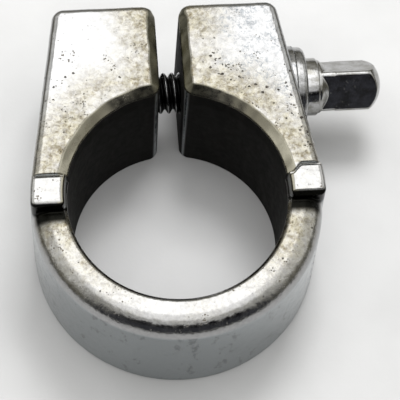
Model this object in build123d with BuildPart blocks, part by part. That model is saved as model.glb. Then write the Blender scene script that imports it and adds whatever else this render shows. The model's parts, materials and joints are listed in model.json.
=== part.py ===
from build123d import *
import os
from math import acos, atan2, cos, hypot, radians, sin, tan

# Split tube collar: a one-piece cast ring with two tall jaws that a square-headed key bolt draws
# together, so that the ring grips a tube.
#
# Millimetres. The tube's axis is Z and the collar's flat face lies on Z = 0. The slot opens toward +Y,
# the plain front of the ring is at -Y, and the bolt's head points along +X.

# --- ring ---------------------------------------------------------------------------------------
tube_diameter = 31.75  # nominal 1 1/4 inch tube
ring_wall = 6.05  # thickness of the ring at its base
ring_height = 19.0
wall_draft = 2.5  # degrees, the outer walls lean in toward the top so that the casting leaves its mould
ring_crown = 3.0  # radius that rounds the ring's outer top edge
bore_break = 0.6  # bevel where the bore meets the ring's top
base_break = 0.4  # bevel at the bore's lower mouth

# --- jaws ---------------------------------------------------------------------------------------
jaw_rise = 2.5  # how far the tops of the jaws stand above the ring
jaw_behind_bolt = 10.6  # from the bolt's axis to the back of the jaws, at the base
jaw_narrowing = 3.7  # by how much the back's half width is less than the ring's radius, at the base
jaw_corner = 2.6  # radius of the upright outer corners
jaw_edge = 1.0  # radius round the outer top edges
jaw_bevel = 1.3  # bevel along the top edges that face the bore and the slot
slot_width = 3.6
slot_offset = 0.1  # the slot sits a little to the bolt-head side of the axis
slot_mouth_corner = 2.0  # radius of the upright corners where the slot opens at the back
slot_bore_corner = 1.5  # radius of the upright corners where the slot meets the bore

# --- key lugs, one on each side, that line the collar up with what sits on top of it ---------------
lug_front = -1.8
lug_length = 4.5
lug_rise = 2.1  # how far the lugs stand above the ring
lug_inset = 0.3  # from the bore to the lug's inner face
lug_edge = 0.5
lug_groove = 0.25  # gap between a lug and the jaw behind it, down to the ring's top

# --- bolt ---------------------------------------------------------------------------------------
thread_diameter = 6.35  # 1/4 inch
bolt_wall = 2.5  # metal between the bore and the bolt's hole
thread_engagement = 11.0  # length of thread in the left-hand jaw
shank_point = 0.8  # bevel on the tip
bolt_collar_diameter = 9.1
bolt_collar_thickness = 2.0
key_square = 6.35  # across the flats, 1/4 inch
key_corner_diameter = 8.6  # the square's corners are turned to this
key_length = 10.3
key_dome = 2.3  # how far the domed end stands beyond the corners
shoulder_length = 1.9  # cone that runs from the collar down to the flats
key_angle = 49.0  # degrees that the square is turned at rest

# --- washer and its seat ----------------------------------------------------------------------------
washer_diameter = 12.7
washer_thickness = 1.7
washer_edge = 0.8  # radius round the rim on the head's side
seat_margin = 0.25  # how far the machined seat runs past the washer's rim
seat_proud = 0.1  # least height of the seat above the sloping side of the jaw

# --- fits -------------------------------------------------------------------------------------------
bolt_clearance = 0.09  # radial, between the thread's crest and the holes that it passes
seat_gap = 0.02  # between washer, seat and bolt collar
cut_margin = 2.0  # how far a cutting tool runs past the metal

bore_radius = tube_diameter / 2
ring_radius = bore_radius + ring_wall
jaw_height = ring_height + jaw_rise
lug_height = ring_height + lug_rise
bolt_hole_radius = thread_diameter / 2 + bolt_clearance
bolt_y = bore_radius + bolt_wall + bolt_hole_radius
bolt_z = jaw_height / 2
lug_back = lug_front + lug_length
jaw_front = lug_back + lug_groove

# The collar's outline at its base: a ring, with flanks that leave it at a tangent and run straight back
# to the rounded corners of the jaws.
jaw_reach = bolt_y + jaw_behind_bolt
corner_x = ring_radius - jaw_narrowing - jaw_corner
corner_y = jaw_reach - jaw_corner
flank_turn = atan2(corner_y, corner_x) - acos((ring_radius - jaw_corner) / hypot(corner_x, corner_y))
flank_normal = Vector(cos(flank_turn), sin(flank_turn))

# The seat is square to the bolt and stands clear of the sloping flank all round the washer.
seat_radius = washer_diameter / 2 + seat_margin
draft_slope = tan(radians(wall_draft))
flank_x = (ring_radius - bolt_z * draft_slope - bolt_y * flank_normal.Y) / flank_normal.X
flank_slope = hypot(flank_normal.Y, draft_slope) / flank_normal.X
seat_x = flank_x + seat_radius * flank_slope + seat_proud
washer_x = seat_x + seat_gap
bolt_collar_x = washer_x + washer_thickness + seat_gap
key_x = bolt_collar_x + bolt_collar_thickness
tip_x = slot_offset - slot_width / 2 - thread_engagement
key_dome_radius = ((key_corner_diameter / 2) ** 2 + key_dome**2) / (2 * key_dome)

bolt_plane = Plane(origin=(0, bolt_y, bolt_z), x_dir=(0, 1, 0), z_dir=(1, 0, 0))
bolt_section = Plane(origin=(0, bolt_y, bolt_z), x_dir=(1, 0, 0), z_dir=(0, -1, 0))
bolt_axis = Axis((0, bolt_y, bolt_z), (1, 0, 0))
jaw_front_plane = Plane(origin=(0, jaw_front, 0), x_dir=(1, 0, 0), z_dir=(0, 1, 0))
lug_front_plane = Plane(origin=(0, lug_front, 0), x_dir=(1, 0, 0), z_dir=(0, 1, 0))
lug_back_plane = Plane(origin=(0, lug_back, 0), x_dir=(1, 0, 0), z_dir=(0, 1, 0))


def bolt_station(x):
    """The plane square to the bolt's axis at a distance x from the tube's axis."""
    return bolt_plane.offset(x)


with BuildSketch() as outline:
    with BuildLine():
        flank = Line(ring_radius * flank_normal, Vector(corner_x, corner_y) + jaw_corner * flank_normal)
        corner = TangentArc(flank @ 1, (corner_x, jaw_reach), tangent=flank % 1)
        mirror(about=Plane.YZ)
        Line((-corner_x, jaw_reach), corner @ 1)
        ThreePointArc((-(flank @ 0).X, (flank @ 0).Y), (0, -ring_radius), flank @ 0)
    make_face()


def on_outside(edge):
    """True for an edge that runs along a flank or along the back of the jaws."""
    middle = edge.center()
    along_flank = abs(middle.X) > corner_x and middle.Y > jaw_front + jaw_edge
    return along_flank or middle.Y > corner_y


# The opening seen from above: the bore, and the slot that runs out through the back.
with BuildSketch() as opening:
    Circle(bore_radius)
    with Locations((slot_offset, 0)):
        Rectangle(slot_width, jaw_reach + cut_margin, align=(Align.CENTER, Align.MIN))
    fillet(opening.vertices().sort_by(Axis.Y)[-4:-2], slot_bore_corner)

# --- the tall block that both jaws are cut from -------------------------------------------------------
with BuildPart() as jaws:
    extrude(outline.sketch, amount=jaw_height, taper=wall_draft)
    split(bisect_by=jaw_front_plane, keep=Keep.TOP)
    extrude(opening.sketch, amount=jaw_height, mode=Mode.SUBTRACT)
    slot_walls = jaws.faces().filter_by(Axis.X).sort_by(lambda face: abs(face.center().X - slot_offset))[:2]
    slot_ends = slot_walls.edges().filter_by(lambda edge: edge.bounding_box().size.Z > jaw_height / 2)
    fillet(slot_ends.sort_by(Axis.Y)[-2:], slot_mouth_corner)
    fillet(jaws.faces().filter_by(Plane.XY).group_by(Axis.Z)[-1].edges().filter_by(on_outside), jaw_edge)
    with BuildSketch(Plane.XY.offset(jaw_height - jaw_bevel)):
        add(opening.sketch)
    extrude(amount=jaw_bevel, taper=-45, mode=Mode.SUBTRACT)

# --- the two key lugs ----------------------------------------------------------------------------------
with BuildPart() as lugs:
    with BuildSketch():
        Circle(ring_radius)
    extrude(amount=lug_height, taper=wall_draft)
    split(bisect_by=lug_front_plane, keep=Keep.TOP)
    split(bisect_by=lug_back_plane, keep=Keep.BOTTOM)
    with BuildSketch():
        Circle(bore_radius + lug_inset)
    extrude(amount=lug_height, mode=Mode.SUBTRACT)
    fillet(lugs.faces().filter_by(Plane.XY).group_by(Axis.Z)[-1].edges(), lug_edge)

# --- the casting ---------------------------------------------------------------------------------------
with BuildPart() as clamp_body:
    extrude(outline.sketch, amount=ring_height, taper=wall_draft)
    fillet(clamp_body.faces().filter_by(Plane.XY).group_by(Axis.Z)[-1].edges(), ring_crown)
    split(bisect_by=jaw_front_plane, keep=Keep.BOTTOM)
    add(jaws.part)
    add(lugs.part)
    with BuildSketch(bolt_station(0)):
        Circle(seat_radius)
    extrude(amount=seat_x)
    # the bore, with its bevels
    with BuildSketch():
        Circle(bore_radius)
    extrude(amount=jaw_height + cut_margin, mode=Mode.SUBTRACT)
    with BuildSketch(Plane.XY.offset(ring_height - bore_break)):
        Circle(bore_radius)
    with BuildSketch(Plane.XY.offset(ring_height)):
        Circle(bore_radius + bore_break)
    loft(mode=Mode.SUBTRACT)
    with BuildSketch(Plane.XY):
        Circle(bore_radius + base_break)
    with BuildSketch(Plane.XY.offset(base_break)):
        Circle(bore_radius)
    loft(mode=Mode.SUBTRACT)
    # the slot
    with BuildSketch():
        with Locations((slot_offset, 0)):
            Rectangle(slot_width, jaw_reach + cut_margin, align=(Align.CENTER, Align.MIN))
    extrude(amount=jaw_height + cut_margin, mode=Mode.SUBTRACT)
    # the bolt's hole through both jaws
    with BuildSketch(bolt_station(-ring_radius - cut_margin)):
        Circle(bolt_hole_radius)
    extrude(amount=2 * ring_radius + 2 * cut_margin, mode=Mode.SUBTRACT)
clamp_body.part.label = "clamp_body"

# --- washer ---------------------------------------------------------------------------------------------
with BuildPart() as flat_washer:
    with BuildSketch(bolt_station(washer_x)):
        Circle(washer_diameter / 2)
        Circle(bolt_hole_radius, mode=Mode.SUBTRACT)
    extrude(amount=washer_thickness)
    rim = flat_washer.edges().filter_by(GeomType.CIRCLE).group_by(Axis.X)[-1].sort_by(SortBy.RADIUS)[-1]
    fillet(rim, washer_edge)
flat_washer.part.label = "flat_washer"

# --- key bolt -------------------------------------------------------------------------------------------
# The head: a square whose corners are turned round and whose end is domed.
with BuildPart() as key_head:
    with BuildSketch(bolt_station(key_x)):
        Rectangle(key_square, key_square, rotation=key_angle)
    extrude(amount=key_length)
    with BuildSketch(bolt_section):
        with BuildLine():
            dome_start = (key_x + key_length - key_dome, key_corner_diameter / 2)
            dome_end = (key_x + key_length, 0)
            Polyline(dome_end, (key_x, 0), (key_x, key_corner_diameter / 2), dome_start)
            RadiusArc(dome_start, dome_end, key_dome_radius)
        make_face()
    revolve(axis=bolt_axis, mode=Mode.INTERSECT)

with BuildPart() as key_bolt:
    with BuildSketch(bolt_section):
        with BuildLine():
            Polyline(
                (tip_x, 0),
                (tip_x, thread_diameter / 2 - shank_point),
                (tip_x + shank_point, thread_diameter / 2),
                (bolt_collar_x, thread_diameter / 2),
                (bolt_collar_x, bolt_collar_diameter / 2),
                (key_x, bolt_collar_diameter / 2),
                (key_x + shoulder_length, key_square / 2),
                (key_x + shoulder_length, 0),
                close=True,
            )
        make_face()
    revolve(axis=bolt_axis)
    add(key_head.part)
key_bolt.part.label = "key_bolt"

os.makedirs("parts", exist_ok=True)
for piece in (clamp_body.part, flat_washer.part, key_bolt.part):
    export_step(piece, f"parts/{piece.label}.step")
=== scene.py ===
import bpy
import json
import math
import numpy as np
from mathutils import Matrix, Vector


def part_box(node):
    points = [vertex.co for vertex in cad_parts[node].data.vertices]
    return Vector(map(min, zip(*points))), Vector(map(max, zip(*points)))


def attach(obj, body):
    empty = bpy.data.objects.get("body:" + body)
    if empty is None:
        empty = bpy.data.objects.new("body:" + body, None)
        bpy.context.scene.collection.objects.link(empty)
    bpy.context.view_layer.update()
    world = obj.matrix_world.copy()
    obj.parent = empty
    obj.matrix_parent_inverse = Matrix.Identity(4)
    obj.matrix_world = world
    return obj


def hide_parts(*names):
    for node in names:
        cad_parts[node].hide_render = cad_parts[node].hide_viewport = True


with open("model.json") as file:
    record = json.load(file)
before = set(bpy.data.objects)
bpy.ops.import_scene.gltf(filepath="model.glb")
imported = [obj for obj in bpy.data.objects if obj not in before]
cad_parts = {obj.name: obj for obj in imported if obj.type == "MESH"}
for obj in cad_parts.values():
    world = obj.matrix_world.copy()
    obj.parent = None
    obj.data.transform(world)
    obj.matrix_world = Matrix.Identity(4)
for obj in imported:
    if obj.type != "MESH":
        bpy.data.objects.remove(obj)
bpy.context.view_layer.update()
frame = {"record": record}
MM = 0.001

# ---------------------------------------------------------------------------------------------------
# Sizes, in millimetres. The tube's axis is Z, the base lies on Z = 0, and the slot opens toward +Y.
# ---------------------------------------------------------------------------------------------------
TUBE = next(m for m in frame["record"]["mounts"] if m["name"] == "tube_bore")
BOLT = next(j for j in frame["record"]["behaviour"]["joints"] if j["name"] == "bolt_turn")
BORE = TUBE["dims"]["r_mm"]
BOLT_Y = BOLT["pos_m"][1] / MM
BOLT_Z = BOLT["pos_m"][2] / MM
BODY_LOW, BODY_HIGH = (np.array(c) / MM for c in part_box("clamp_body"))
WASHER_LOW, WASHER_HIGH = (np.array(c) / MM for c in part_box("flat_washer"))
KEY_LOW, KEY_HIGH = (np.array(c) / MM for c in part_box("key_bolt"))

RING_R = -BODY_LOW[1]
JAW_TOP = BODY_HIGH[2]
JAW_BACK = BODY_HIGH[1]
RING_TOP = JAW_TOP - 2.5
LUG_TOP = RING_TOP + 2.1
DRAFT = math.radians(2.5)
FLANK_TURN = math.radians(7.43)  # the flanks lean in by this much, seen from above
JAW_FRONT = 2.95
JAW_CORNER = 2.6  # radius of the jaws' upright outer corners
OUTER_BEVEL = 0.74  # bevel round the outside of the jaws' tops
INNER_BEVEL = 1.3  # bevel of the jaws' tops toward bore and slot
CROWN = 3.0  # radius round the ring's outer top edge
LAND_BEVEL = 0.55  # bevel of the ring's top toward the bore
TOE = 1.3  # how far the right jaw reaches forward beside its lug
SLOT_X = 0.1
SLOT_HALF = 1.8
SLOT_LEAN = 0.012  # the slot's sideways lean, for each unit of height
MOUTH_CORNER = 2.0  # radius of the upright corners at the slot's open end
BORE_CORNER = 1.5  # radius of the upright corners between slot and bore
LUG_FRONT = -1.8
LUG_MIDDLE = 0.4
LUG_INSET = 0.3
LUG_CORNER = 0.75
LUG_EDGE = 0.75
LUG_SLOPE = 0.5  # how far the lugs' front faces lean back, for each unit of height
SEAT_X = WASHER_LOW[0] - 0.02
SEAT_R = (WASHER_HIGH[2] - WASHER_LOW[2]) / 2 + 0.25
HOLE_R = 3.265


# ---------------------------------------------------------------------------------------------------
# Solids as distance functions: negative inside, positive outside
# ---------------------------------------------------------------------------------------------------
def meet(a, b, r):
    """What a and b have in common, with the edge between them rounded to radius r."""
    return np.minimum(-r, np.maximum(a, b)) + np.hypot(np.maximum(a + r, 0), np.maximum(b + r, 0))


def join(a, b, r):
    """a and b together, with a hollow fillet of radius r between them."""
    return -meet(-a, -b, r)


def bevel(a, b, c, r):
    """What a and b have in common, with the edge cut off by c and both new edges softened to r."""
    return meet(meet(a, b, r), (a + b + c) * math.sqrt(0.5), r)


def ease(t):
    """Smooth step from 0 to 1."""
    t = np.clip(t, 0, 1)
    return t * t * (3 - 2 * t)


def sway(x, y, z):
    """Slow waves of a few hundredths, because a cast surface is never quite true."""
    waves = 0.03 * np.sin(0.45 * x + 0.25 * y + 1.0) + 0.02 * np.sin(0.7 * y - 0.5 * x + 0.2 * z)
    return waves + 0.006 * np.sin(2.3 * x + 1.9 * z + 0.6) * np.sin(2.1 * y)


def walls(x, y, z, wave):
    """Two fields: the sloping outer walls, and the walls of the bore and the slot."""
    cos_t, sin_t = math.cos(FLANK_TURN), math.sin(FLANK_TURN)
    ax = np.abs(x)
    radius = np.hypot(x, y)
    flank = ax * cos_t + y * sin_t - RING_R
    outline = meet(flank, y - JAW_BACK, JAW_CORNER)
    outline = np.where(y * cos_t < ax * sin_t, radius - RING_R, outline)
    outer = (outline + z * math.tan(DRAFT)) * math.cos(DRAFT) + 0.05 + 0.5 * np.abs(wave)
    slot = np.maximum(np.abs(x - SLOT_X - SLOT_LEAN * (z - 10)) - SLOT_HALF, -y)
    return outer, -join(radius - BORE, slot, BORE_CORNER)


def jaw_front(x):
    """Where the jaws end toward the ring, with the right jaw's toe round the inner corner of its lug."""
    return JAW_FRONT - TOE * ease((18.1 - x) / 1.6) * (x > 0)


def jaws(x, y, z, outer, inner, wave):
    """Both jaws, with a narrow bevel outside and a wide, worn one toward bore and slot."""
    side = meet(outer, inner, MOUTH_CORNER)
    top = z - JAW_TOP + 0.02 + 0.6 * np.abs(wave)
    worn = 0.06 * np.sin(0.8 * x + 1.1 * y) + 0.03 * np.sin(2.1 * x - 1.7 * y)
    inward = ease((outer - inner) / -1.6)
    block = bevel(side, top, OUTER_BEVEL, 0.32) * (1 - inward)
    block += bevel(side, top, INNER_BEVEL + worn, 0.16) * inward
    return meet(block, jaw_front(x) - y, 0.22)


def ring(y, z, outer, inner, wave):
    """The ring: a bevel at the bore, a narrow flat land and a broad crown. It ends just inside the jaws."""
    land = z - RING_TOP + 0.02 + 0.7 * np.abs(wave)
    band = np.maximum(meet(outer, land, CROWN), bevel(inner, land, LAND_BEVEL, 0.15))
    return np.maximum(band, y - JAW_FRONT - 1)


def lugs(x, y, z, outer, wave):
    """The two lugs: rounded blocks with sloping front faces and a shallow groove along the jaw behind."""
    right = x > 0
    plan = np.maximum(outer - 0.25 * right, BORE + LUG_INSET - np.hypot(x, y))
    plan = np.maximum(meet(plan, LUG_FRONT - y, LUG_CORNER), y - jaw_front(x) - 0.15)
    top = z - LUG_TOP + 0.7 * np.abs(wave)
    groove = 0.28 + 0.06 * right - np.hypot(y - jaw_front(x) + 0.1, z - LUG_TOP)
    face = (LUG_FRONT - y + LUG_SLOPE * top + 0.55 + 0.1 * wave) * 0.85 - 0.45 * (x < 0)
    block = np.maximum(np.maximum(meet(plan, top, LUG_EDGE), groove), face)
    return np.maximum(block, 12 - np.abs(x))


def body_field(x, y, z):
    """The casting: ring, jaws, lugs and seat, less the opening and the bolt's hole."""
    wave = sway(x, y, z)
    outer, inner = walls(x, y, z, wave)
    band = ring(y, z, outer, inner, wave)
    body = np.minimum(band, jaws(x, y, z, outer, inner, wave))
    footed = join(band, lugs(x, y, z, outer, wave), 0.35)
    body = np.minimum(body, footed + 10 * (np.abs(x) < 11))  # the fillets stay beside the lugs
    across = np.hypot(y - BOLT_Y, z - BOLT_Z)
    seat = meet(across - SEAT_R, x - SEAT_X, 0.12)
    body = np.minimum(body, np.maximum(seat, 8 - x))
    body = np.maximum(body, HOLE_R - across)
    return meet(body, -z, 0.3)


# ---------------------------------------------------------------------------------------------------
# Meshes
# ---------------------------------------------------------------------------------------------------
def stations(*runs):
    """Grid positions from (start, stop, step) runs that follow one another."""
    parts = [np.linspace(a, b, max(2, round((b - a) / step) + 1))[:-1] for a, b, step in runs]
    return np.concatenate(parts + [[runs[-1][1]]])


def gradient(field, points, h=0.004):
    """The field's slope at each point."""
    slope = np.empty_like(points)
    for axis in range(3):
        step = np.zeros(3)
        step[axis] = h
        ahead, behind = points + step, points - step
        slope[:, axis] = (field(*ahead.T) - field(*behind.T)) / (2 * h)
    return slope


def skin(field, xs, ys, zs):
    """Vertices, quads and normals of the field's zero surface, with one vertex in each crossed cell."""
    inside = np.empty((len(xs), len(ys), len(zs)), bool)
    for i, x in enumerate(xs):
        y, z = np.meshgrid(ys, zs, indexing="ij")
        inside[i] = field(np.full_like(y, x), y, z) < 0
    count = np.zeros([n - 1 for n in inside.shape], np.int8)
    for i in (0, 1):
        for j in (0, 1):
            for k in (0, 1):
                count += inside[i : i + len(xs) - 1, j : j + len(ys) - 1, k : k + len(zs) - 1]
    crossed = (count > 0) & (count < 8)
    index = np.full(crossed.shape, -1)
    index[crossed] = np.arange(crossed.sum())
    cell = np.argwhere(crossed)
    low = np.stack([xs[cell[:, 0]], ys[cell[:, 1]], zs[cell[:, 2]]], 1)
    high = np.stack([xs[cell[:, 0] + 1], ys[cell[:, 1] + 1], zs[cell[:, 2] + 1]], 1)
    points = (low + high) / 2
    slack = (high - low) * 0.12
    for _ in range(5):
        slope = gradient(field, points)
        size = np.maximum((slope**2).sum(1, keepdims=True), 0.05)
        points = np.clip(points - field(*points.T)[:, None] * slope / size, low - slack, high + slack)
    slope = gradient(field, points)
    normals = slope / np.maximum(np.linalg.norm(slope, axis=1, keepdims=True), 1e-6)
    quads = []
    for axis in range(3):
        a = np.moveaxis(inside, axis, 0)
        ids = np.moveaxis(index, axis, 0)
        change = a[1:, 1:-1, 1:-1] != a[:-1, 1:-1, 1:-1]
        i, j, k = np.nonzero(change)
        ring = np.stack([ids[i, j, k], ids[i, j + 1, k], ids[i, j + 1, k + 1], ids[i, j, k + 1]], 1)
        leaving = a[i, j + 1, k + 1] ^ (axis == 1)
        quads.append(np.where(leaving[:, None], ring, ring[:, ::-1]))
    return points, np.concatenate(quads), normals


def lathe(profile, turns, shape=None):
    """Vertices and quads of a turned piece about the bolt's axis. profile is a list of (x, radius), and
    shape, where given, changes the radii: shape(x, radius, angle)."""
    profile = np.array(profile)
    angle = np.linspace(0, 2 * math.pi, turns, endpoint=False)
    x = np.repeat(profile[:, :1], turns, 1)
    r = np.repeat(profile[:, 1:], turns, 1)
    if shape is not None:
        r = shape(x, r, angle[None] + 0 * x)
    points = np.stack([x, BOLT_Y + r * np.cos(angle), BOLT_Z + r * np.sin(angle)], 2).reshape(-1, 3)
    i, j = np.meshgrid(np.arange(len(profile) - 1), np.arange(turns), indexing="ij")
    i, j = i.ravel(), j.ravel()
    k = (j + 1) % turns
    quads = np.stack([i * turns + j, (i + 1) * turns + j, (i + 1) * turns + k, i * turns + k], 1)
    return points, quads[:, ::-1]


def arc(x, r, radius, start, stop, count=6):
    """Profile points round a corner whose centre is (x, r), from one angle to another, in degrees."""
    turn = np.radians(np.linspace(start, stop, count))
    return [(x + radius * math.cos(t), r + radius * math.sin(t)) for t in turn]


def add_mesh(name, points, quads, material, normals=None):
    """A smooth mesh object in the row frame."""
    mesh = bpy.data.meshes.new(name)
    mesh.from_pydata((points * MM).tolist(), [], quads.tolist())
    mesh.update()
    mesh.polygons.foreach_set("use_smooth", np.ones(len(mesh.polygons), bool))
    if normals is not None:
        mesh.normals_split_custom_set_from_vertices(normals.tolist())
    mesh.materials.append(material)
    piece = bpy.data.objects.new(name, mesh)
    bpy.context.scene.collection.objects.link(piece)
    return piece


# ---------------------------------------------------------------------------------------------------
# Materials
# ---------------------------------------------------------------------------------------------------
class Nodes:
    """A material whose node tree is written as expressions. Lengths are in millimetres."""

    def __init__(self, name):
        self.material = bpy.data.materials.new(name)
        self.material.use_nodes = True
        self.tree = self.material.node_tree
        self.shader = self.tree.nodes["Principled BSDF"]
        place = self.tree.nodes.new("ShaderNodeTexCoord").outputs["Object"]
        self.place = self.vector("MULTIPLY", place, (1000, 1000, 1000))
        split = self.tree.nodes.new("ShaderNodeSeparateXYZ")
        self.tree.links.new(self.place, split.inputs[0])
        self.x, self.y, self.z = split.outputs

    def put(self, socket, value):
        if isinstance(value, bpy.types.NodeSocket):
            self.tree.links.new(value, socket)
        elif value is not None:
            socket.default_value = value

    def math(self, operation, a, b=None, clamp=False):
        node = self.tree.nodes.new("ShaderNodeMath")
        node.operation = operation
        node.use_clamp = clamp
        self.put(node.inputs[0], a)
        self.put(node.inputs[1], b)
        return node.outputs[0]

    def plus(self, total, *more):
        for value in more:
            total = self.math("ADD", total, value)
        return total

    def minus(self, a, b):
        return self.math("SUBTRACT", a, b)

    def times(self, product, *more):
        for value in more:
            product = self.math("MULTIPLY", product, value)
        return product

    def length(self, a, b):
        """The hypotenuse of a and b."""
        return self.math("SQRT", self.plus(self.math("POWER", a, 2.0), self.math("POWER", b, 2.0)))

    def vector(self, operation, a, b):
        node = self.tree.nodes.new("ShaderNodeVectorMath")
        node.operation = operation
        self.put(node.inputs[0], a)
        self.put(node.inputs[1], b)
        return node.outputs[0]

    def ramp(self, value, low, high, start=0.0, stop=1.0):
        """Smooth step of value: start at low, stop at high."""
        node = self.tree.nodes.new("ShaderNodeMapRange")
        node.interpolation_type = "SMOOTHSTEP"
        for socket, number in zip(node.inputs[:5], (value, low, high, start, stop)):
            self.put(socket, number)
        return node.outputs[0]

    def blend(self, factor, a, b):
        node = self.tree.nodes.new("ShaderNodeMix")
        node.data_type = "RGBA"
        self.put(node.inputs[0], factor)
        self.put(node.inputs[6], (*a, 1) if isinstance(a, tuple) else a)
        self.put(node.inputs[7], (*b, 1) if isinstance(b, tuple) else b)
        return node.outputs[2]

    def noise(self, scale, detail=3.0, rough=0.55, stretch=None, warp=0.0):
        node = self.tree.nodes.new("ShaderNodeTexNoise")
        place = self.vector("MULTIPLY", self.place, stretch) if stretch else self.place
        self.put(node.inputs["Vector"], place)
        node.inputs["Scale"].default_value = scale
        node.inputs["Detail"].default_value = detail
        node.inputs["Roughness"].default_value = rough
        node.inputs["Distortion"].default_value = warp
        return node.outputs[0]

    def spots(self, scale):
        """Distance to the nearest of a scatter of points, in cells."""
        node = self.tree.nodes.new("ShaderNodeTexVoronoi")
        self.put(node.inputs["Vector"], self.place)
        node.inputs["Scale"].default_value = scale
        return node.outputs["Distance"]

    def facing(self):
        """The three parts of the surface's direction."""
        geometry = self.tree.nodes.new("ShaderNodeNewGeometry")
        split = self.tree.nodes.new("ShaderNodeSeparateXYZ")
        self.tree.links.new(geometry.outputs["Normal"], split.inputs[0])
        return split.outputs

    def bump(self, height, strength, distance):
        node = self.tree.nodes.new("ShaderNodeBump")
        node.inputs["Strength"].default_value = strength
        node.inputs["Distance"].default_value = distance * MM
        self.put(node.inputs["Height"], height)
        self.put(self.shader.inputs["Normal"], node.outputs[0])

    def finish(self, color, rough, metallic=1.0, specular=0.5):
        self.shader.inputs["Specular IOR Level"].default_value = specular
        self.put(self.shader.inputs["Base Color"], (*color, 1) if isinstance(color, tuple) else color)
        self.put(self.shader.inputs["Roughness"], rough)
        self.put(self.shader.inputs["Metallic"], metallic)
        return self.material


def stain_mask(n, inner, high, off_lug):
    """Brown staining: patchy, strongest beside the opening, weak on the lugs and the ring's front."""
    stain = n.times(n.ramp(inner, 11.0, 1.0), n.ramp(n.noise(0.16, 4.0, 0.6), 0.34, 0.58, 0.45, 1.0))
    stain = n.times(stain, n.ramp(n.y, -17.0, -6.0, 0.3, 1.0))
    stain = n.math("MULTIPLY", stain, n.ramp(n.noise(1.3, 6.0, 0.7), 0.3, 0.7, 0.6, 1.2), True)
    return n.times(stain, high, n.ramp(off_lug, 0.0, 1.0, 0.25, 1.0))


def pit_masks(n, inner, high, off_lug):
    """Corrosion pits, in a chain along the right jaw and scattered elsewhere, and finer specks."""
    ragged = n.ramp(n.noise(2.6, 3.0), 0.3, 0.7, -0.18, 0.18)
    rearward = n.ramp(n.y, 22.0, 27.0, 1.0, 0.2)
    chain = n.times(n.ramp(n.x, 2.0, 6.0), n.ramp(inner, 7.5, 5.5), n.ramp(inner, 2.0, 4.0))
    chain = n.times(chain, n.ramp(n.y, 3.0, 6.0), n.ramp(n.noise(0.4, 2.0), 0.34, 0.48))
    likely = n.math("MAXIMUM", chain, n.ramp(n.noise(0.26, 2.0), 0.56, 0.66, 0.0, 0.8))
    likely = n.times(likely, rearward)
    pits = n.plus(n.spots(1.2), n.ramp(likely, 0.0, 1.0, 0.34, 0.0), ragged)
    pits = n.times(n.ramp(pits, 0.25, 0.14), high, off_lug)
    specks = n.plus(n.spots(2.6), n.ramp(n.noise(0.45, 3.0), 0.50, 0.66, 0.4, 0.0), ragged)
    specks = n.times(n.ramp(specks, 0.34, 0.18), high, rearward)
    return pits, specks


def top_color(n, inner, stain, pits, specks):
    """Bright plating with brown stain, mud, blue-grey scuffs on the right jaw, specks and pits."""
    scuffs = n.ramp(n.noise(1.5, 6.0, 0.8, None, 0.8), 0.49, 0.58)
    scuffs = n.times(scuffs, n.ramp(n.x, 1.0, 7.0), n.ramp(inner, 3.5, 7.5))
    scuffs = n.times(scuffs, n.ramp(n.noise(0.2, 2.0), 0.40, 0.56, 0.25, 1.0))
    mud = n.times(n.ramp(n.noise(1.2, 6.0, 0.8), 0.52, 0.68), n.ramp(stain, 0.35, 0.9, 0.0, 0.8))
    mottle = n.ramp(n.noise(1.1, 6.0, 0.75, None, 0.6), 0.38, 0.60)
    color = n.blend(n.noise(1.7, 4.0, 0.65), (0.27, 0.27, 0.275), (0.47, 0.47, 0.465))
    color = n.blend(stain, color, n.blend(mottle, (0.125, 0.105, 0.067), (0.32, 0.30, 0.235)))
    color = n.blend(mud, color, (0.12, 0.105, 0.068))
    color = n.blend(n.times(specks, 0.75), color, (0.13, 0.105, 0.07))
    color = n.blend(n.times(scuffs, 0.8), color, (0.17, 0.183, 0.195))
    return n.blend(n.times(pits, 0.9), color, (0.04, 0.033, 0.026))


def lug_foot_shade_mask(n, from_bore, high):
    """Painted shade and dark reflection at the step in front of each lug: near-black on its front face and
    the strip of the ring before it.
    """
    foot = n.times(n.ramp(n.y, LUG_FRONT - 2.6, LUG_FRONT - 1.2), n.ramp(n.y, 0.0, LUG_FRONT + 0.35))
    foot = n.times(foot, n.ramp(n.z, LUG_TOP - 0.1, LUG_TOP - 0.4))
    return n.times(foot, high, n.ramp(from_bore, 0.1, 0.6))


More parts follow.
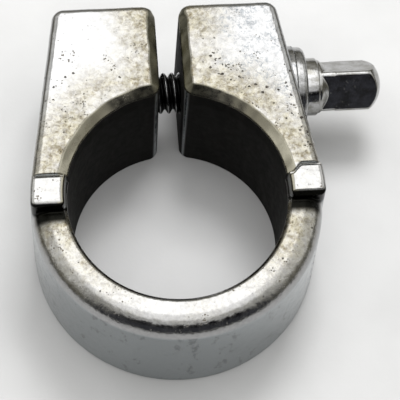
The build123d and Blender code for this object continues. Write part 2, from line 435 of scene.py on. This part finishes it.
def plated_casting():
    """Worn chrome over zinc: bright and pitted on top, stained near the opening, dark inside it."""
    n = Nodes("plated_casting")
    up = n.facing()[2]
    from_bore = n.minus(n.length(n.x, n.y), BORE)
    from_slot = n.minus(n.math("ABSOLUTE", n.minus(n.x, SLOT_X)), SLOT_HALF)
    from_slot = n.plus(from_slot, n.ramp(n.y, 14.0, 10.0, 0.0, 30.0))
    inner = n.math("MINIMUM", from_bore, from_slot)
    high = n.ramp(n.z, 17.0, 18.0)
    off_lug = n.ramp(n.math("ABSOLUTE", n.minus(n.y, LUG_MIDDLE)), 2.2, 2.8)
    stain = stain_mask(n, inner, high, off_lug)
    pits, specks = pit_masks(n, inner, high, off_lug)
    grime = n.noise(0.9, 5.0, 0.65)

    # color: the tops, then the inner bevels, the walls of the opening, the outer walls and the painted
    # shade at the lugs' feet
    color = top_color(n, inner, stain, pits, specks)
    edge = n.times(n.ramp(inner, 1.45, 1.2), n.ramp(n.z, 19.7, 20.1), n.ramp(up, 0.96, 0.88))
    olive = n.times(n.ramp(from_slot, 6.0, 2.0), n.ramp(n.y, 9.0, 13.0))
    color = n.blend(edge, color, n.blend(olive, (0.38, 0.36, 0.29), (0.15, 0.143, 0.108)))
    wall = n.times(n.ramp(inner, 0.5, 0.12), n.ramp(up, 0.35, 0.15))
    streaks = n.noise(0.8, 4.0, 0.6, (1.0, 1.0, 0.12))
    color = n.blend(wall, color, n.blend(streaks, (0.003, 0.003, 0.003), (0.016, 0.015, 0.013)))
    side = n.times(n.ramp(up, 0.3, 0.05), n.ramp(wall, 0.0, 1.0, 0.85, 0.0))
    scrapes = n.ramp(n.noise(0.55, 5.0, 0.7, (1.0, 1.0, 0.5)), 0.56, 0.64)
    color = n.blend(side, color, n.blend(n.times(scrapes, 0.55), (0.31, 0.34, 0.35), (0.05, 0.05, 0.055)))
    # painted shade and dark reflection: near-black colour at the foot of each lug
    color = n.blend(lug_foot_shade_mask(n, from_bore, high), color, (0.006, 0.006, 0.005))

    rough = n.plus(n.ramp(grime, 0.3, 0.7, 0.10, 0.24), n.times(stain, 0.14), n.times(wall, 0.55))
    rough = n.math("ADD", rough, n.times(specks, 0.2), True)

    # relief: fine grain and grime, less the pits, calmer on slopes and bevels, with ripples on the crown
    height = n.plus(n.times(n.noise(4.0, 4.0, 0.6), 0.05), n.times(grime, 0.14))
    height = n.minus(n.minus(height, n.times(pits, 0.7)), n.times(specks, 0.3))
    height = n.times(height, n.ramp(up, 0.9, 0.985, 0.4, 1.0), n.ramp(edge, 0.0, 1.0, 1.0, 0.2))
    crown = n.times(n.ramp(up, 0.35, 0.5), n.ramp(up, 0.97, 0.85))
    crown = n.times(crown, n.ramp(n.y, 0.0, -4.0), n.ramp(inner, 2.0, 3.0))
    height = n.plus(height, n.times(crown, n.noise(0.9, 3.0), 0.45))
    n.bump(height, 1.0, 0.16)
    return n.finish(color, rough, n.ramp(wall, 0.0, 1.0, 1.0, 0.1), 0.1)


def washer_steel():
    """Plated steel with fine marks round the axis, rubbed dark patches and tiny pits."""
    n = Nodes("washer_steel")
    grime = n.noise(0.8, 5.0, 0.65)
    marks = n.noise(2.5, 4.0, 0.6, (3.0, 0.6, 0.6))
    pits = n.ramp(n.plus(n.spots(2.6), n.ramp(n.noise(0.6), 0.45, 0.65, 0.3, 0.0)), 0.2, 0.1)
    color = n.blend(n.ramp(grime, 0.35, 0.65), (0.20, 0.20, 0.195), (0.38, 0.38, 0.38))
    color = n.blend(n.times(pits, 0.7), color, (0.08, 0.07, 0.06))
    n.bump(n.minus(n.plus(n.times(marks, 0.12), n.times(grime, 0.1)), n.times(pits, 0.4)), 1.0, 0.12)
    return n.finish(color, n.ramp(marks, 0.3, 0.7, 0.16, 0.28))


def bolt_steel():
    """The bolt: bright head and collar, and a thread that is nearly black, darkest in its roots."""
    n = Nodes("bolt_steel")
    grime = n.noise(0.7, 5.0, 0.65)
    marks = n.noise(2.2, 4.0, 0.6, (3.0, 0.5, 0.5))
    pits = n.ramp(n.plus(n.spots(2.4), n.ramp(n.noise(0.6), 0.45, 0.65, 0.3, 0.0)), 0.2, 0.1)
    color = n.blend(n.ramp(grime, 0.35, 0.65), (0.24, 0.235, 0.215), (0.42, 0.42, 0.42))
    color = n.blend(n.times(pits, 0.7), color, (0.08, 0.07, 0.06))
    thread = n.ramp(n.x, WASHER_LOW[0] + 1.0, WASHER_LOW[0])
    crest = n.ramp(n.length(n.minus(n.y, BOLT_Y), n.minus(n.z, BOLT_Z)), 2.75, 3.12)
    color = n.blend(thread, color, n.blend(crest, (0.012, 0.012, 0.012), (0.20, 0.20, 0.20)))
    n.bump(n.minus(n.plus(n.times(marks, 0.10), n.times(grime, 0.12)), n.times(pits, 0.4)), 1.0, 0.12)
    return n.finish(color, n.plus(n.ramp(marks, 0.3, 0.7, 0.10, 0.18), n.times(thread, 0.08)))


def pale_floor():
    """Matt pale board with faint mottling. Far out it is painted dark, a painted shade that the chrome
    reflects for its contrast.
    """
    n = Nodes("pale_floor")
    color = n.blend(n.ramp(n.noise(0.05, 3.0), 0.3, 0.7), (0.46, 0.46, 0.46), (0.50, 0.50, 0.50))
    # painted shade: the floor turns dark from 80 to 170 mm out, for the chrome to reflect
    color = n.blend(n.ramp(n.length(n.x, n.y), 80.0, 170.0), color, (0.10, 0.10, 0.095))
    n.bump(n.noise(0.6, 4.0), 0.3, 0.1)
    return n.finish(color, 0.7, 0.0)


# ---------------------------------------------------------------------------------------------------
# Pieces
# ---------------------------------------------------------------------------------------------------
def make_body():
    xs = stations((BODY_LOW[0] - 0.6, -3.2, 0.24), (-3.2, 3.8, 0.14), (3.8, 19.2, 0.24),
                  (19.2, BODY_HIGH[0] + 0.6, 0.13))
    ys = stations((BODY_LOW[1] - 0.6, -2.4, 0.25), (-2.4, 3.6, 0.09), (3.6, JAW_BACK + 0.6, 0.24))
    zs = stations((-0.45, 0.75, 0.15), (0.75, 15.75, 0.4), (15.75, 18.0, 0.2), (18.0, JAW_TOP + 0.45, 0.11))
    points, quads, normals = skin(body_field, xs, ys, zs)
    piece = add_mesh("collar_casting", points, quads, plated_casting(), normals)
    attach(piece, "collar")
    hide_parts("clamp_body")


def make_washer():
    back, front = WASHER_LOW[0], WASHER_HIGH[0]
    rim = (WASHER_HIGH[2] - WASHER_LOW[2]) / 2
    profile = [(back, HOLE_R), (back, HOLE_R + 0.05), (back, rim - 0.2)]
    profile += arc(back + 0.15, rim - 0.15, 0.15, 180, 90)
    profile += arc(front - 0.8, rim - 0.8, 0.8, 90, 0, 12)
    profile += [(front, rim - 1.0), (front, HOLE_R + 0.15), (front - 0.12, HOLE_R), (back, HOLE_R)]
    points, quads = lathe(profile, 128)
    piece = add_mesh("washer_ring", points, quads, washer_steel())
    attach(piece, "washer")
    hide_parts("flat_washer")


def make_bolt():
    tip, end = KEY_LOW[0], KEY_HIGH[0]
    collar_x = WASHER_HIGH[0] + 0.02
    collar_r = (KEY_HIGH[2] - KEY_LOW[2]) / 2
    head_x = collar_x + 2.0
    crest, root, pitch = 3.22, 2.55, 1.27  # radii of the thread, and its advance in one turn
    flats, corner, dome, key_turn = 3.175, 4.3, 2.3, math.radians(49)  # the square head
    thread_end = collar_x - 1.2

    def shape(x, r, angle):
        # right-hand V thread: the phase runs along the axis as the angle turns
        phase = (x / pitch - angle / (2 * math.pi)) % 1.0
        depth = (0.5 + 0.5 * np.cos(2 * math.pi * phase)) ** 1.3 * (crest - root)
        depth *= ease((x - tip) / 0.6 + 0.3) * ease((thread_end - x) / 1.0)
        threaded = np.where(x < collar_x - 0.05, np.minimum(r, crest) - depth, r)
        # the square head: flats, with the corners turned to a circle
        turn = (angle - key_turn + math.pi / 4) % (math.pi / 2) - math.pi / 4
        square = flats / np.cos(turn)
        cone = collar_r - (x - head_x) * 0.85
        head = np.minimum(r, np.maximum(np.minimum(square, corner), cone))
        return np.where(x > head_x + 0.001, head, threaded)

    profile = [(tip, 0.0), (tip, 1.2), (tip, crest - 0.85), (tip + 0.4, crest - 0.4)]
    profile += [(x, crest) for x in np.arange(tip + 0.8, collar_x - 0.3, pitch / 14)]
    profile += [(collar_x, crest), (collar_x, crest + 0.4), (collar_x, collar_r - 0.3)]
    profile += arc(collar_x + 0.2, collar_r - 0.2, 0.2, 180, 90)
    profile += arc(head_x - 0.25, collar_r - 0.25, 0.25, 90, 10)
    profile += [(head_x + s, collar_r - 0.3 - s * 0.02) for s in np.linspace(0.02, 2.6, 20)]
    profile += [(x, corner) for x in np.linspace(head_x + 2.7, end - dome, 16)]
    ball = (corner**2 + dome**2) / (2 * dome)
    reach = math.degrees(math.asin(corner / ball))
    profile += arc(end - ball, 0.0, ball, reach, 0.0, 22)[1:]
    points, quads = lathe(profile, 160, shape)
    piece = add_mesh("square_key_bolt", points, quads, bolt_steel())
    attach(piece, "bolt")
    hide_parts("key_bolt")


def make_floor():
    size = 600.0
    corners = np.array([(-size, -size, 0), (size, -size, 0), (size, size, 0), (-size, size, 0)], float)
    floor = add_mesh("floor", corners, np.array([(0, 1, 2, 3)]), pale_floor())


# ---------------------------------------------------------------------------------------------------
# Light and camera
# ---------------------------------------------------------------------------------------------------
def make_world():
    """A pale studio: bright panels above and on both sides, a dark front wall and a grey low belt."""
    world = bpy.data.worlds.new("studio")
    bpy.context.scene.world = world
    world.use_nodes = True
    tree = world.node_tree
    background = tree.nodes["Background"]
    direction = tree.nodes.new("ShaderNodeTexCoord").outputs["Generated"]
    split = tree.nodes.new("ShaderNodeSeparateXYZ")
    tree.links.new(direction, split.inputs[0])
    _, y, z = split.outputs

    def step(value, low, high):
        node = tree.nodes.new("ShaderNodeMapRange")
        node.interpolation_type = "SMOOTHSTEP"
        tree.links.new(value, node.inputs[0])
        node.inputs[1].default_value = low
        node.inputs[2].default_value = high
        return node.outputs[0]

    def mix(factor, a, b):
        node = tree.nodes.new("ShaderNodeMix")
        node.data_type = "RGBA"
        tree.links.new(factor, node.inputs[0])
        for socket, value in ((node.inputs[6], a), (node.inputs[7], b)):
            if isinstance(value, tuple):
                socket.default_value = (*value, 1)
            else:
                tree.links.new(value, socket)
        return node.outputs[2]

    def panel(room, toward, low, high, light):
        """room with a round soft-edged light in it. low and high are cosines from its centre."""
        node = tree.nodes.new("ShaderNodeVectorMath")
        node.operation = "DOT_PRODUCT"
        tree.links.new(direction, node.inputs[0])
        node.inputs[1].default_value = Vector(toward).normalized()
        return mix(step(node.outputs["Value"], low, high), room, light)

    belt = mix(step(z, 0.0, 0.5), (0.20, 0.19, 0.15), (0.62, 0.61, 0.57))
    front = mix(step(z, 0.36, 0.46), (0.060, 0.062, 0.072), (0.006, 0.006, 0.008))
    front = mix(step(z, 0.60, 0.68), front, (1.0, 1.0, 1.0))
    room = mix(step(y, -0.70, -0.40), front, belt)
    room = panel(room, (-1, 0.3, 0.8), 0.84, 0.92, (1.3, 1.3, 1.27))
    room = panel(room, (1, 0.3, 0.8), 0.84, 0.92, (1.3, 1.3, 1.27))
    room = mix(step(z, 0.82, 0.93), room, (2.0, 2.0, 2.0))
    room = panel(room, (-0.05, 0.44, 1.0), 0.925, 0.955, (3.1, 3.1, 3.1))
    tree.links.new(room, background.inputs["Color"])
    background.inputs["Strength"].default_value = 1.0


def area_light(name, place, target, size, power):
    light = bpy.data.lights.new(name, "AREA")
    light.size = size * MM
    light.energy = power
    lamp = bpy.data.objects.new(name, light)
    bpy.context.scene.collection.objects.link(lamp)
    lamp.location = Vector(place) * MM
    lamp.visible_glossy = False
    lamp.rotation_euler = ((Vector(target) - Vector(place)).to_track_quat("-Z", "Y")).to_euler()


def make_camera():
    eye, target = Vector((-9.08, -75.244, 173.629)), Vector((3.788, 3.097, 10.0))
    camera = bpy.data.cameras.new("camera")
    camera.lens = 108.0
    camera.sensor_width = 36.0
    camera.clip_start = 0.01
    holder = bpy.data.objects.new("camera", camera)
    bpy.context.scene.collection.objects.link(holder)
    aim = (target - eye).to_track_quat("-Z", "Y").to_matrix().to_4x4()
    roll = Matrix.Rotation(math.radians(5.517), 4, "Z")
    holder.matrix_world = Matrix.Translation(eye * MM) @ aim @ roll
    bpy.context.scene.camera = holder


make_body()
make_washer()
make_bolt()
make_floor()
make_world()
area_light("key", (50, 165, 290), (0, 5, 5), 110, 0.78)
make_camera()
bpy.context.scene.view_settings.view_transform = "Standard"
